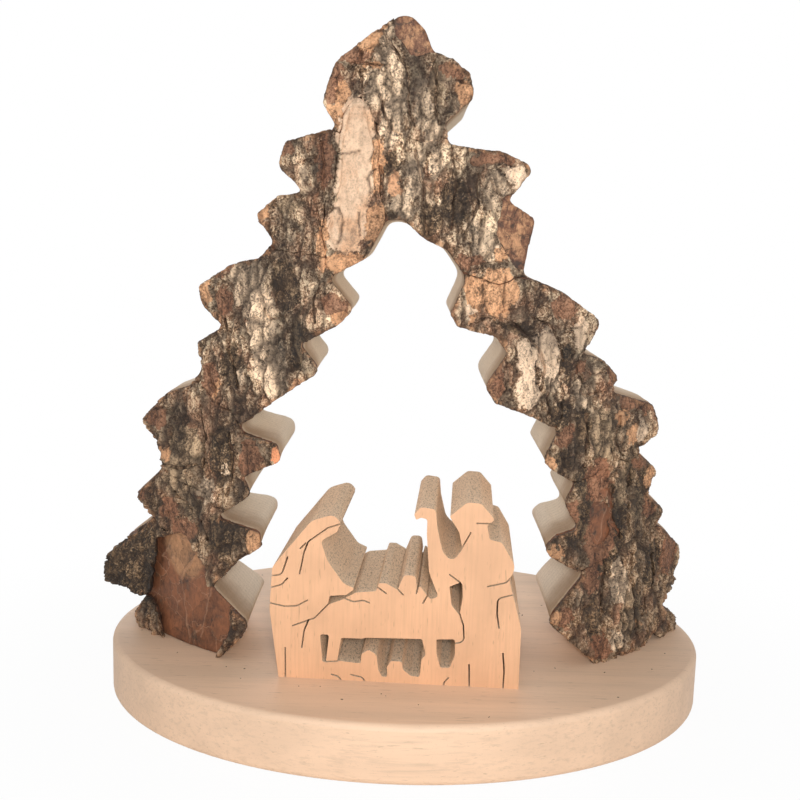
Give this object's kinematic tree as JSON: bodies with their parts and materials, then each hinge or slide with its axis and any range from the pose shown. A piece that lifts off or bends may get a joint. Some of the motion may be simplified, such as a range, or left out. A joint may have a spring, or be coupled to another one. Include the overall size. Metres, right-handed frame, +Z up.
{
  "type": "nativity stable",
  "caption": "Free-standing wooden nativity scene: a fir-shaped arch sawn from a bark-faced log slab over a pierced figure block, both screwed to an oval plaque.",
  "frame": {"origin": "centre of the plaque's underside", "axes": "+Z up along the arch, +X to the viewer's right along the plaque's long axis, +Y away from the viewer"},
  "size_m": [0.2267, 0.169, 0.2363],
  "materials": {
    "lime_wood": "planed, untreated",
    "slab_sapwood": "band-sawn, untreated",
    "bast": "smooth dry inner bark",
    "outer_bark": "rough fissured bark",
    "figure_wood": "sanded front, sawn sides",
    "screw_steel": "zinc plated"
  },
  "bodies": {
    "root": {"arch_screws": "screw_steel", "arch_slab": "slab_sapwood", "bark_crown": "outer_bark", "bark_left_flap": "outer_bark", "bark_left_foot_inner": "outer_bark", "bark_left_foot_outer": "outer_bark", "bark_left_leg": "outer_bark", "bark_left_lower_arm": "outer_bark", "bark_left_shoulder": "outer_bark", "bark_left_upper_arm": "outer_bark", "bark_right_foot": "outer_bark", "bark_right_leg": "outer_bark", "bark_right_lower_arm": "outer_bark", "bark_right_shoulder": "outer_bark", "bark_right_upper_arm": "outer_bark", "bark_tongue": "outer_bark", "base_plaque": "lime_wood", "block_screws": "screw_steel", "figure_block": "figure_wood", "inner_bark": "bast"}
  },
  "joints": []
}
